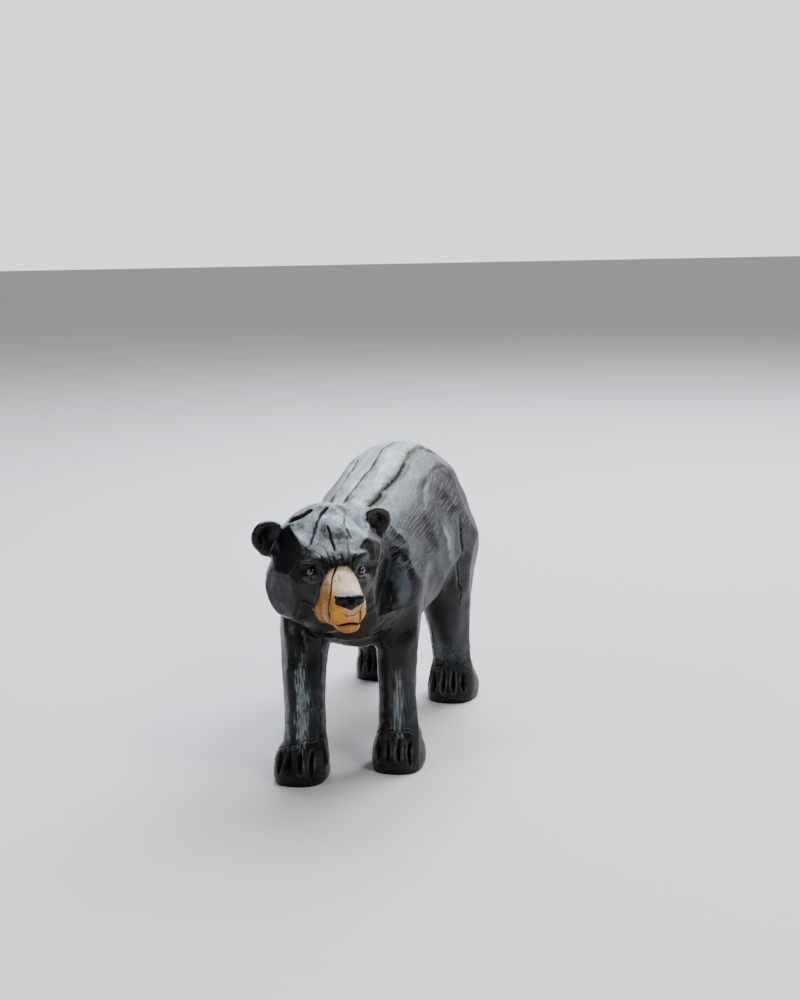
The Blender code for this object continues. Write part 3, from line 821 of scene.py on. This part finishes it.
class Paint:
    """A material whose nodes are written as short calls. Values may be numbers or sockets."""

    def __init__(self, name):
        self.material = bpy.data.materials.new(name)
        self.material.use_nodes = True
        self.tree = self.material.node_tree
        self.shader = self.tree.nodes["Principled BSDF"]

    def node(self, kind, inputs=(), **settings):
        made = self.tree.nodes.new("ShaderNode" + kind)
        for name, value in settings.items():
            setattr(made, name, value)
        for socket, value in dict(inputs).items():
            self.put(made.inputs[socket], value)
        return made

    def put(self, socket, value):
        if isinstance(value, bpy.types.NodeSocket):
            self.tree.links.new(value, socket)
        else:
            socket.default_value = value

    def set(self, **values):
        """Values or sockets of the shader, by the socket's name with _ for a space."""
        for name, value in values.items():
            self.put(self.shader.inputs[name.replace("_", " ")], value)

    def value(self, name):
        return self.node("Attribute", attribute_name=name).outputs["Fac"]

    def vector(self, name):
        return self.node("Attribute", attribute_name=name).outputs["Vector"]

    def scaled(self, vector, factors):
        return self.node("VectorMath", {0: vector, 1: factors}, operation="MULTIPLY").outputs[0]

    def split(self, vector):
        return self.node("SeparateXYZ", {0: vector}).outputs

    def math(self, operation, a, b=0.0, c=0.0):
        return self.node("Math", {0: a, 1: b, 2: c}, operation=operation).outputs[0]

    def madd(self, value, factor, plus):
        """A value times a factor, plus another value."""
        return self.math("MULTIPLY_ADD", value, factor, plus)

    def noise(self, vector, scale, detail, roughness):
        inputs = {"Vector": vector, "Scale": scale, "Detail": detail, "Roughness": roughness}
        return self.node("TexNoise", inputs).outputs["Fac"]

    def ramp(self, value, low, high):
        """0 below low and 1 above high, or the other way round, with a smooth step between."""
        inputs = {"Value": value, "From Min": low, "From Max": high}
        return self.node("MapRange", inputs, interpolation_type="SMOOTHSTEP").outputs["Result"]

    def strokes(self, across, sweep, place, spacing, length, width):
        """Fine lines that run along sweep, the spacing apart, each broken into strokes."""
        stray = self.noise(place, 0.035, 1, 0.5)
        lane = self.madd(stray, 2.4, self.math("DIVIDE", across, spacing))
        number = self.math("FLOOR", lane)
        off = self.math("ABSOLUTE", self.math("SUBTRACT", self.math("SUBTRACT", lane, number), 0.5))
        line = self.ramp(off, width, width * 0.4)
        run = self.math("DIVIDE", sweep, length)
        own = self.math("MULTIPLY", number, 7.31)
        seat = self.node("CombineXYZ", {0: own, 1: run, 2: spacing}).outputs[0]
        return self.both(line, self.ramp(self.noise(seat, 1.6, 0, 0.5), 0.44, 0.54))

    def patch(self, place, centre, radii, edge, outside, inside):
        """1 inside an ellipsoid whose edge is broken up by a noise, 0 outside."""
        off = self.node("VectorMath", {0: place, 1: centre}, operation="SUBTRACT").outputs[0]
        off = self.scaled(off, tuple(1 / radius for radius in radii))
        reach = self.node("VectorMath", {0: off}, operation="LENGTH").outputs["Value"]
        return self.ramp(self.math("ADD", edge, reach), outside, inside)

    def mix(self, factor, a, b):
        made = self.node("Mix", data_type="RGBA")
        for socket, value in zip((0, 6, 7), (factor, a, b)):
            if isinstance(value, tuple):
                value = (*value, 1.0)
            self.put(made.inputs[socket], value)
        return made.outputs[2]

    def both(self, *values):
        out = values[0]
        for value in values[1:]:
            out = self.math("MULTIPLY", out, value)
        return out

    def either(self, *values):
        out = values[0]
        for value in values[1:]:
            out = self.math("MAXIMUM", out, value)
        return out

    def bump(self, height, distance, strength):
        inputs = {"Height": height, "Distance": distance, "Strength": strength}
        return self.node("Bump", inputs).outputs[0]


BLACK_PAINT = (0.0045, 0.0045, 0.005)
BROWN_PAINT = (0.014, 0.009, 0.0065)
WORN_WOOD = (0.095, 0.088, 0.080)
GREY_DUST = (0.26, 0.255, 0.24)
# Painted shade inside the cracks, slots and grooves.
CRACK_SHADE = (0.004, 0.003, 0.003)
BARE_WOOD = (0.26, 0.23, 0.17)
TAN_PAINT = (0.34, 0.105, 0.010)
GOLD_PAINT = (0.60, 0.24, 0.024)
# Painted highlight on the muzzle's upper part.
CREAM_HIGHLIGHT = (0.88, 0.67, 0.40)
PINK_PAINT = (0.55, 0.27, 0.14)
NOSE_PAINT = (0.006, 0.006, 0.007)
# Painted sheen in blue-grey strips.
BLUE_GREY_SHEEN = (0.085, 0.105, 0.125)
LEG_SHEEN = (0.05, 0.062, 0.072)
# Painted sheen: grey on faces that turn up, and pale blue-grey on the saddle, the crown and down the
# legs.
TOP_SHEEN_PAINT = (0.115, 0.13, 0.145)
PALE_SHEEN_PAINT = (0.46, 0.505, 0.52)
MUZZLE_SPECK = (0.10, 0.055, 0.03)
# Dark brown of the muzzle's rim and brush strokes, also used as painted shade on its right side.
MUZZLE_BROWN_AND_SHADE = (0.20, 0.085, 0.018)
# Painted highlight on worn paint along the nose's top edge.
NOSE_HIGHLIGHT_AND_WEAR = (0.42, 0.43, 0.45)
EAR_PAINT = (0.075, 0.05, 0.025)
# Painted shade in the haunch's hollow.
HOLLOW_SHADE = (0.012, 0.008, 0.007)
# Worn brown paint on the belly, deepened by painted warm light bounced from below.
BELLY_WEAR_AND_BOUNCE = (0.065, 0.036, 0.024)
GLASS_DARK = (0.004, 0.003, 0.003)
GLASS_BROWN = (0.03, 0.014, 0.006)

# Places on the body and on the legs with painted sheen, painted shade or the belly's brown: centre,
# radii, colour, strength.
BODY_PATCHES = (
    ((33, 13, 120), (8, 12, 8), HOLLOW_SHADE, 1.0),
    ((36.5, 8, 103), (7, 8, 17), BLUE_GREY_SHEEN, 0.9),
    ((37, 4, 103), (6, 4, 15), PALE_SHEEN_PAINT, 0.4),
    ((33, -30, 94), (9, 13, 8), LEG_SHEEN, 1.0),
    ((25, -62, 94), (7, 6, 15), BLUE_GREY_SHEEN, 0.8),
    ((28, -40, 108), (9, 16, 9), BLUE_GREY_SHEEN, 0.4),
    ((33, -22, 83), (8, 26, 7), BELLY_WEAR_AND_BOUNCE, 0.45),
)
LEG_PATCHES = (
    ((-20, -84, 45), (7, 9, 34), LEG_SHEEN, 1.0),
    ((-21, -84, 44), (4, 9, 32), PALE_SHEEN_PAINT, 0.45),
    ((22, -62, 36), (6, 9, 24), LEG_SHEEN, 1.0),
    ((21, -62, 35), (3.4, 9, 22), PALE_SHEEN_PAINT, 0.35),
    ((26, 46, 28), (11, 14, 11), LEG_SHEEN, 1.0),
)


class Marks:
    """The values that the wood's paint follows: places, cracks, wear and noises."""

    def __init__(self, paint):
        self.layout = paint.vector("layout")
        self.x, self.y, self.z = paint.split(self.layout)
        self.face = paint.vector("face")
        self.face_x, self.face_y, self.face_z = paint.split(self.face)
        self.crack = paint.ramp(paint.value("crack"), 0.04, 0.5)
        self.bare = paint.value("bare")
        self.edge = paint.value("edge")
        self.up = paint.value("up")
        self.cloudy = paint.noise(self.layout, 0.045, 4, 0.6)
        self.grain = paint.noise(paint.scaled(self.layout, (1, 1, 0.12)), 0.9, 4, 0.6)
        self.speckle = paint.noise(self.layout, 1.6, 2, 0.5)
        self.patchy = paint.noise(self.layout, 0.11, 3, 0.6)
        self.ragged = paint.madd(self.speckle, 1.6, -0.8)


def fur_strokes(paint, at):
    """Fine scratched strokes on the left flank."""
    round_body, sweep, _ = paint.split(paint.vector("fur"))
    strands = paint.either(
        paint.strokes(round_body, sweep, at.layout, 1.5, 15.0, 0.18),
        paint.strokes(round_body, sweep, at.layout, 2.3, 20.0, 0.12),
    )
    on_flank = paint.both(
        paint.ramp(at.x, 12, 20),
        paint.ramp(at.z, 90, 104),
        paint.ramp(at.y, -66, -56),
        paint.ramp(at.y, 62, 40),
    )
    thinned_out = paint.madd(paint.ramp(at.patchy, 0.38, 0.56), 0.8, 0.2)
    return paint.both(strands, on_flank, thinned_out)


def painted_sheen(paint, at, colour):
    """Painted sheen: grey on the planes that face up, and paler on the saddle and the crown."""
    # Painted sheen on the upward faces of the body.
    top_sheen = paint.both(
        paint.ramp(at.up, 0.42, 0.85),
        paint.ramp(at.z, 60, 100),
        paint.ramp(at.grain, 0.30, 0.52),
        paint.madd(paint.ramp(at.x, 32, 14), 0.7, 0.3),
    )
    colour = paint.mix(paint.both(top_sheen, 0.85), colour, TOP_SHEEN_PAINT)
    creased = paint.noise(paint.scaled(at.layout, (1, 0.4, 1)), 0.22, 4, 0.6)
    # Painted sheen on the saddle of the back, between the wide split and the bear's right.
    beside = paint.math("SUBTRACT", at.x, paint.madd(at.y, 0.095, 10.6))
    saddle = paint.both(
        paint.ramp(beside, 0.6, -0.4),
        paint.ramp(at.x, -27, -15),
        paint.ramp(at.up, 0.35, 0.75),
        paint.ramp(at.y, -52, -46),
        paint.ramp(at.y, 84, 56),
        paint.ramp(creased, 0.18, 0.62),
    )
    colour = paint.mix(saddle, colour, PALE_SHEEN_PAINT)
    # Painted sheen on the crown of the head.
    crown = paint.both(
        paint.ramp(at.face_z, 10, 20),
        paint.ramp(at.up, 0.42, 0.78),
        paint.ramp(at.face_y, 22, 16),
        paint.ramp(creased, 0.32, 0.62),
        0.6,
    )
    return paint.mix(crown, colour, PALE_SHEEN_PAINT)


def patches(paint, at, colour):
    """Painted sheen and shade on the body and the legs, and the belly's brown."""
    along_grain = paint.noise(paint.scaled(at.layout, (1, 0.3, 0.8)), 0.35, 3, 0.6)
    soft_edge = paint.madd(along_grain, 0.8, at.patchy)
    # Painted shade in the haunch's hollow, painted sheen on the thigh, flank and shoulder.
    for centre, radii, shade, strength in BODY_PATCHES:
        share = paint.patch(at.layout, centre, radii, soft_edge, 1.90, 1.10)
        colour = paint.mix(paint.both(share, strength), colour, shade)
    long_grain = paint.noise(paint.scaled(at.layout, (1, 1, 0.05)), 1.1, 2, 0.5)
    streaky_edge = paint.madd(long_grain, 1.8, at.patchy)
    fibre = paint.noise(paint.scaled(at.layout, (1, 1, 0.03)), 2.4, 1, 0.5)
    fibre = paint.madd(paint.ramp(fibre, 0.36, 0.62), 0.7, 0.3)
    # Painted sheen in streaks down the legs.
    for centre, radii, shade, strength in LEG_PATCHES:
        share = paint.patch(at.layout, centre, radii, streaky_edge, 2.30, 1.80)
        colour = paint.mix(paint.both(share, fibre, strength), colour, shade)
    return colour


def coat(paint, at, strands):
    """The coat of the body: black and brown paint with painted sheen, patches of painted sheen and
    shade, worn edges and fur.
    """
    colour = paint.mix(paint.ramp(at.cloudy, 0.42, 0.68), BLACK_PAINT, BROWN_PAINT)
    colour = painted_sheen(paint, at, colour)
    colour = patches(paint, at, colour)
    worn = paint.both(
        paint.ramp(paint.madd(at.speckle, 0.06, at.edge), 0.055, 0.14),
        paint.ramp(at.cloudy, 0.35, 0.6),
        paint.ramp(at.patchy, 0.40, 0.56),
    )
    colour = paint.mix(paint.both(worn, 0.75), colour, WORN_WOOD)
    return paint.mix(paint.both(strands, 0.5), colour, GREY_DUST)


def muzzle(paint, at, colour):
    """The muzzle's gold paint with a painted highlight in cream on its upper part and towards the
    bear's left, deeper tan towards the bottom, painted shade on its right side, a darker rim, brush
    strokes and specks.
    """
    # Painted highlight: cream where the level is high, on the upper part and towards the bear's left;
    # it deepens to tan towards the bottom.
    highlight_level = paint.madd(at.speckle, 3.0, at.face_z)
    highlight_level = paint.madd(at.face_x, 0.35, highlight_level)
    own = paint.mix(paint.ramp(highlight_level, -4.5, 3.5), GOLD_PAINT, CREAM_HIGHLIGHT)
    own = paint.mix(paint.ramp(highlight_level, -8, -20), own, TAN_PAINT)
    # Painted shade on the muzzle's right side.
    in_shade = paint.both(
        paint.ramp(at.face_x, -5.0, -7.6),
        paint.ramp(at.face_z, -17, -8),
        paint.ramp(at.grain, 0.25, 0.6),
    )
    own = paint.mix(paint.both(in_shade, 0.75), own, MUZZLE_BROWN_AND_SHADE)
    under_nose = {0: at.face, 1: (3.6, -39, -7.5)}
    pink = paint.node("VectorMath", under_nose, operation="DISTANCE").outputs["Value"]
    pink = paint.madd(at.speckle, 4.0, pink)
    own = paint.mix(paint.ramp(pink, 8.0, 6.5), own, PINK_PAINT)
    own = paint.mix(paint.ramp(at.speckle, 0.64, 0.69), own, MUZZLE_SPECK)
    brush = paint.noise(paint.scaled(at.face, (1, 0.25, 0.25)), 1.1, 2, 0.5)
    brush = paint.both(paint.ramp(brush, 0.54, 0.68), 0.55)
    own = paint.mix(brush, own, MUZZLE_BROWN_AND_SHADE)
    lower = paint.ramp(at.face_z, -3.5, -15)
    back = paint.madd(lower, -9.6, paint.math("ADD", at.face_y, at.ragged))
    rim = paint.both(paint.ramp(back, -27.6, -25.8), 0.6)
    own = paint.mix(rim, own, MUZZLE_BROWN_AND_SHADE)
    on_muzzle = paint.both(
        paint.ramp(back, -25.2, -25.8),
        paint.ramp(paint.math("ADD", at.face_z, at.ragged), 8.6, 7.8),
        paint.ramp(at.face_z, -24, -22),
        paint.ramp(at.face_x, -11.2, -10.8),
        paint.ramp(at.face_x, 11.6, 11.0),
    )
    return paint.mix(on_muzzle, colour, own)


def left_ear(paint, at, colour):
    """The brown wear inside the left ear."""
    in_ear = paint.both(
        paint.ramp(at.face_x, 18.5, 20.5),
        paint.ramp(at.face_z, 10, 13),
        paint.ramp(at.face_y, 4.5, 3.5),
        paint.ramp(at.patchy, 0.3, 0.5),
        paint.ramp(at.up, 0.3, 0.1),
    )
    return paint.mix(in_ear, colour, EAR_PAINT)


def nose(paint, at, colour):
    """The colour with the black nose and its pale top, a painted highlight on worn paint, and where
    the nose is.
    """
    off_middle = paint.math("ABSOLUTE", paint.math("SUBTRACT", at.face_x, 1.5))
    lowest = paint.madd(off_middle, 0.45, -7.9)
    on_nose = paint.both(
        paint.ramp(off_middle, 7.4, 6.9),
        paint.ramp(paint.math("SUBTRACT", at.face_z, lowest), -0.3, 0.3),
        paint.ramp(at.face_y, -36.9, -37.4),
    )
    # Painted highlight along the nose's top edge, over worn paint.
    lit_worn_top = paint.ramp(paint.math("ADD", at.face_z, at.ragged), -1.6, -1.0)
    own = paint.mix(lit_worn_top, NOSE_PAINT, NOSE_HIGHLIGHT_AND_WEAR)
    return paint.mix(on_nose, colour, own), on_nose


def wood_paint():
    """Aged black paint over wood, worn at the edges, with painted sheen and shade, a tan muzzle and a
    black nose.
    """
    paint = Paint("painted_wood_aged")
    at = Marks(paint)
    strands = fur_strokes(paint, at)
    colour = coat(paint, at, strands)
    colour = muzzle(paint, at, colour)
    colour = left_ear(paint, at, colour)
    colour, on_nose = nose(paint, at, colour)
    bare_wood = paint.both(at.bare, paint.ramp(at.speckle, 0.3, 0.5))
    colour = paint.mix(bare_wood, colour, BARE_WOOD)
    # Painted shade blackens the cracks, slots and grooves.
    colour = paint.mix(at.crack, colour, CRACK_SHADE)

    uneven = paint.noise(at.layout, 0.35, 4, 0.65)
    roughness = paint.madd(uneven, 0.26, 0.16)
    roughness = paint.madd(strands, 0.2, roughness)
    roughness = paint.madd(paint.either(at.crack, at.bare), 0.4, roughness)
    roughness = paint.madd(on_nose, -0.18, roughness)
    roughness = paint.madd(paint.ramp(at.x, 24, 32), 0.14, roughness)

    height = paint.madd(strands, -0.7, paint.both(at.speckle, 0.16))
    height = paint.madd(at.grain, 0.5, height)
    paint.set(
        Base_Color=colour,
        Roughness=roughness,
        Specular_IOR_Level=0.18,
        Normal=paint.bump(height, 0.0004, 0.7),
    )
    return paint.material


def glass():
    """Dark brown glass, nearly black."""
    paint = Paint("eye_glass_dark")
    place = paint.node("TexCoord").outputs["Object"]
    swirl = paint.noise(place, 700.0, 2, 0.5)
    colour = paint.mix(paint.ramp(swirl, 0.45, 0.7), GLASS_DARK, GLASS_BROWN)
    paint.set(Base_Color=colour, Roughness=0.05, Coat_Weight=1.0, Coat_Roughness=0.02)
    return paint.material


# Shares of the glass eye's radius: its size in the solid's place, its waist, the rim that stands
# out from the waist, the rim's band and the height of its back.
BEAD_SIZE = 0.99
BEAD_WAIST = 0.955
BEAD_RIM = 0.04
BEAD_RIM_BAND = 0.10
BEAD_BACK = 0.8

# The way each eye looks in the head's frame: this far outward, and ahead.
GAZE_OUTWARD = 0.3
GAZE_AHEAD = -0.95

# x of the head's middle, in metres.
HEAD_MIDDLE = -0.005


def bead(name, node):
    """A pressed glass eye in the solid's place: a dome, a thin rim and a shallower back."""
    low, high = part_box(node)
    centre = (low + high) / 2
    radius = (high.x - low.x) / 2
    gaze = Vector((math.copysign(GAZE_OUTWARD, centre.x - HEAD_MIDDLE), GAZE_AHEAD, 0))
    outward = (head_frame().to_3x3() @ gaze).normalized()
    bm = bmesh.new()
    bmesh.ops.create_uvsphere(bm, u_segments=48, v_segments=32, radius=1.0)
    for vert in bm.verts:
        height = vert.co.z
        across = math.hypot(vert.co.x, vert.co.y)
        if height < 0:
            vert.co.z = height * BEAD_BACK
        rim = math.exp(-((height / BEAD_RIM_BAND) ** 2)) * BEAD_RIM
        grow = (BEAD_WAIST + rim) if across > 1e-6 else 1.0
        vert.co.x *= grow
        vert.co.y *= grow
    turn = outward.to_track_quat("Z", "Y").to_matrix().to_4x4()
    bmesh.ops.transform(bm, matrix=turn @ Matrix.Scale(radius * BEAD_SIZE, 4), verts=bm.verts)
    mesh = bpy.data.meshes.new(name)
    bm.to_mesh(mesh)
    bm.free()
    mesh.shade_smooth()
    obj = bpy.data.objects.new(name, mesh)
    obj.location = centre
    bpy.context.scene.collection.objects.link(obj)
    return obj


def dress():
    """The pieces, each riding on the body and standing for its solid."""
    mesh = painted_figure()
    bear = bpy.data.objects.new("carved_bear", mesh)
    bpy.context.scene.collection.objects.link(bear)
    mesh.materials.clear()
    mesh.materials.append(wood_paint())
    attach(bear, "root")
    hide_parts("bear")
    look = glass()
    for node in ("right_eye", "left_eye"):
        eye = bead(node + "_glass", node)
        eye.data.materials.append(look)
        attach(eye, "root")
        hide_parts(node)


# The photograph's viewing angle: the camera stands ahead of the bear, a little to its left, and
# looks down at it.
CAMERA_PLACE = (0.1813, -0.8177, 0.2755)
CAMERA_PAN = math.radians(11.68)
CAMERA_TILT = math.radians(-10.34)
CAMERA_ROLL = math.radians(-1.56)
LENS = 50.0
SENSOR_HEIGHT = 30.0
CLIP_START = 0.01

# Soft square lights: name, place, the point that each faces, size, power, colour.
LIGHTS = (
    ("window", (0.2, 0.75, 1.25), (0, 0, 0.1), 1.3, 50.0, (0.78, 0.89, 1.0)),
    ("side_lamp", (0.75, -0.55, 0.85), (0, 0, 0.08), 0.3, 4.5, (1.0, 0.97, 0.92)),
    ("left_window", (-0.75, -0.75, 0.55), (0, 0, 0.07), 0.35, 4.0, (0.82, 0.92, 1.0)),
)
FLOOR_REACH = 6.0
FLOOR_COLOUR = (0.78, 0.755, 0.73, 1.0)
ROOM_COLOUR = (0.93, 0.95, 1.0, 1.0)

# How bright the room is ahead of the bear and behind it.
ROOM_AHEAD = 0.05
ROOM_BEHIND = 1.7


def add_camera():
    lens = bpy.data.cameras.new("camera")
    lens.lens = LENS
    lens.sensor_fit = "VERTICAL"
    lens.sensor_height = SENSOR_HEIGHT
    lens.clip_start = CLIP_START
    camera = bpy.data.objects.new("camera", lens)
    turn = Matrix.Rotation(CAMERA_PAN, 4, "Z") @ Matrix.Rotation(math.pi / 2 + CAMERA_TILT, 4, "X")
    roll = Matrix.Rotation(CAMERA_ROLL, 4, "Z")
    camera.matrix_world = Matrix.Translation(CAMERA_PLACE) @ turn @ roll
    bpy.context.scene.collection.objects.link(camera)
    bpy.context.scene.camera = camera


def add_light(name, place, aim, size, power, colour):
    """A soft square light that faces a point."""
    data = bpy.data.lights.new(name, "AREA")
    data.shape = "SQUARE"
    data.size = size
    data.energy = power
    data.color = colour
    lamp = bpy.data.objects.new(name, data)
    lamp.location = place
    lamp.rotation_euler = (Vector(aim) - Vector(place)).to_track_quat("-Z", "Y").to_euler()
    bpy.context.scene.collection.objects.link(lamp)


def add_room():
    """A plain pale floor, a pale room that is brighter behind the bear, and soft lights."""
    bm = bmesh.new()
    bmesh.ops.create_grid(bm, x_segments=1, y_segments=1, size=FLOOR_REACH)
    mesh = bpy.data.meshes.new("floor")
    bm.to_mesh(mesh)
    bm.free()
    floor = bpy.data.objects.new("floor", mesh)
    bpy.context.scene.collection.objects.link(floor)
    paint = Paint("pale_floor")
    paint.set(Base_Color=FLOOR_COLOUR, Roughness=0.8)
    mesh.materials.append(paint.material)

    world = bpy.data.worlds.new("room")
    bpy.context.scene.world = world
    world.use_nodes = True
    nodes, links = world.node_tree.nodes, world.node_tree.links
    way = nodes.new("ShaderNodeTexCoord").outputs["Generated"]
    parts = nodes.new("ShaderNodeSeparateXYZ")
    links.new(way, parts.inputs[0])
    span = nodes.new("ShaderNodeMapRange")
    span.interpolation_type = "SMOOTHSTEP"
    span.inputs["From Min"].default_value = 0.1
    span.inputs["From Max"].default_value = 0.95
    span.inputs["To Min"].default_value = ROOM_AHEAD
    span.inputs["To Max"].default_value = ROOM_BEHIND
    links.new(parts.outputs["Y"], span.inputs["Value"])
    background = nodes["Background"]
    background.inputs["Color"].default_value = ROOM_COLOUR
    links.new(span.outputs["Result"], background.inputs["Strength"])

    for light in LIGHTS:
        add_light(*light)


dress()
add_camera()
add_room()
